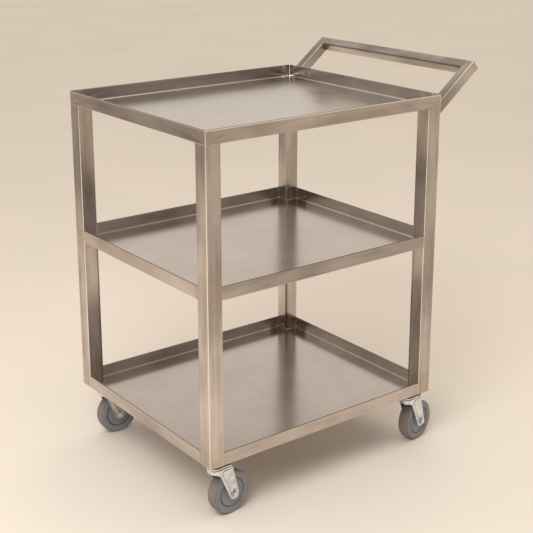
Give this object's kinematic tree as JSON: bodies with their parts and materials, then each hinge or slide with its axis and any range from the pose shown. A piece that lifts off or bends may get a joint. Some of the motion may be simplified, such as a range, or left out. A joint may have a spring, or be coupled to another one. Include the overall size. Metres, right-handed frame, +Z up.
{
  "type": "serving trolley",
  "caption": "Steel serving trolley with folded trays between square-tube legs, a sloping push handle at one end and swivel castors.",
  "frame": {"origin": "on the floor, under the middle of the overall length (handle included) and width", "axes": "+Z up, +X along the trays towards the handle end, +Y across the trays towards the back long side"},
  "size_m": [0.7966, 0.572, 0.9648],
  "materials": {
    "tray_steel": "satin brushed stainless sheet, grain along the tray",
    "leg_steel": "satin brushed stainless tube, grain along the leg",
    "handle_steel": "satin brushed stainless tube, grain along the tube",
    "channel_steel": "mill finish stainless sheet",
    "pad_steel": "mill finish plate",
    "castor_zinc": "bright zinc plating on pressed steel",
    "kingpin_zinc": "bright zinc plating",
    "axle_zinc": "bright zinc plating",
    "screw_steel": "bright zinc plating",
    "ball_steel": "polished bearing steel",
    "sleeve_steel": "turned steel",
    "bush_plastic": "natural nylon",
    "core_plastic": "grey moulded plastic, satin",
    "tyre_rubber": "grey non-marking rubber, matte"
  },
  "bodies": {
    "frame": {"top_tray": "tray_steel", "middle_tray": "tray_steel", "bottom_tray": "tray_steel", "top_tray_channel": "channel_steel", "middle_tray_channel": "channel_steel", "bottom_tray_channel": "channel_steel", "handle_arm_front": "handle_steel", "handle_arm_back": "handle_steel", "handle_bar": "handle_steel", "castor_plate_screws": "screw_steel", "leg_front_left": "leg_steel", "castor_pad_front_left": "pad_steel", "castor_plate_front_left": "castor_zinc", "kingpin_front_left": "kingpin_zinc", "leg_front_right": "leg_steel", "castor_pad_front_right": "pad_steel", "castor_plate_front_right": "castor_zinc", "kingpin_front_right": "kingpin_zinc", "leg_back_left": "leg_steel", "castor_pad_back_left": "pad_steel", "castor_plate_back_left": "castor_zinc", "kingpin_back_left": "kingpin_zinc", "leg_back_right": "leg_steel", "castor_pad_back_right": "pad_steel", "castor_plate_back_right": "castor_zinc", "kingpin_back_right": "kingpin_zinc"},
    "castor_front_left": {"race_balls_front_left": "ball_steel", "fork_front_left": "castor_zinc", "axle_bolt_front_left": "axle_zinc", "axle_nut_front_left": "axle_zinc", "axle_sleeve_front_left": "sleeve_steel"},
    "wheel_front_left": {"wheel_bush_front_left": "bush_plastic", "wheel_core_front_left": "core_plastic", "tyre_front_left": "tyre_rubber"},
    "castor_front_right": {"race_balls_front_right": "ball_steel", "fork_front_right": "castor_zinc", "axle_bolt_front_right": "axle_zinc", "axle_nut_front_right": "axle_zinc", "axle_sleeve_front_right": "sleeve_steel"},
    "wheel_front_right": {"wheel_bush_front_right": "bush_plastic", "wheel_core_front_right": "core_plastic", "tyre_front_right": "tyre_rubber"},
    "castor_back_left": {"race_balls_back_left": "ball_steel", "fork_back_left": "castor_zinc", "axle_bolt_back_left": "axle_zinc", "axle_nut_back_left": "axle_zinc", "axle_sleeve_back_left": "sleeve_steel"},
    "wheel_back_left": {"wheel_bush_back_left": "bush_plastic", "wheel_core_back_left": "core_plastic", "tyre_back_left": "tyre_rubber"},
    "castor_back_right": {"race_balls_back_right": "ball_steel", "fork_back_right": "castor_zinc", "axle_bolt_back_right": "axle_zinc", "axle_nut_back_right": "axle_zinc", "axle_sleeve_back_right": "sleeve_steel"},
    "wheel_back_right": {"wheel_bush_back_right": "bush_plastic", "wheel_core_back_right": "core_plastic", "tyre_back_right": "tyre_rubber"}
  },
  "joints": [
    {"name": "swivel_front_left", "type": "hinge", "parent": "frame", "child": "castor_front_left", "pos_m": [-0.3574, -0.25307, 0.1235], "axis": [0, 0, 1], "continuous": true},
    {"name": "spin_front_left", "type": "hinge", "parent": "castor_front_left", "child": "wheel_front_left", "pos_m": [-0.32458, -0.24962, 0.051], "axis": [-0.1045, 0.9945, 0], "continuous": true},
    {"name": "swivel_front_right", "type": "hinge", "parent": "frame", "child": "castor_front_right", "pos_m": [0.23075, -0.25307, 0.1235], "axis": [0, 0, 1], "continuous": true},
    {"name": "spin_front_right", "type": "hinge", "parent": "castor_front_right", "child": "wheel_front_right", "pos_m": [0.26325, -0.24734, 0.051], "axis": [-0.1736, 0.9848, 0], "continuous": true},
    {"name": "swivel_back_left", "type": "hinge", "parent": "frame", "child": "castor_back_left", "pos_m": [-0.3574, 0.25307, 0.1235], "axis": [0, 0, 1], "continuous": true},
    {"name": "spin_back_left", "type": "hinge", "parent": "castor_back_left", "child": "wheel_back_left", "pos_m": [-0.32442, 0.25192, 0.051], "axis": [0.0349, 0.9994, 0], "continuous": true},
    {"name": "swivel_back_right", "type": "hinge", "parent": "frame", "child": "castor_back_right", "pos_m": [0.23075, 0.25307, 0.1235], "axis": [0, 0, 1], "continuous": true},
    {"name": "spin_back_right", "type": "hinge", "parent": "castor_back_right", "child": "wheel_back_right", "pos_m": [0.26351, 0.2571, 0.051], "axis": [-0.1219, 0.9925, 0], "continuous": true}
  ]
}
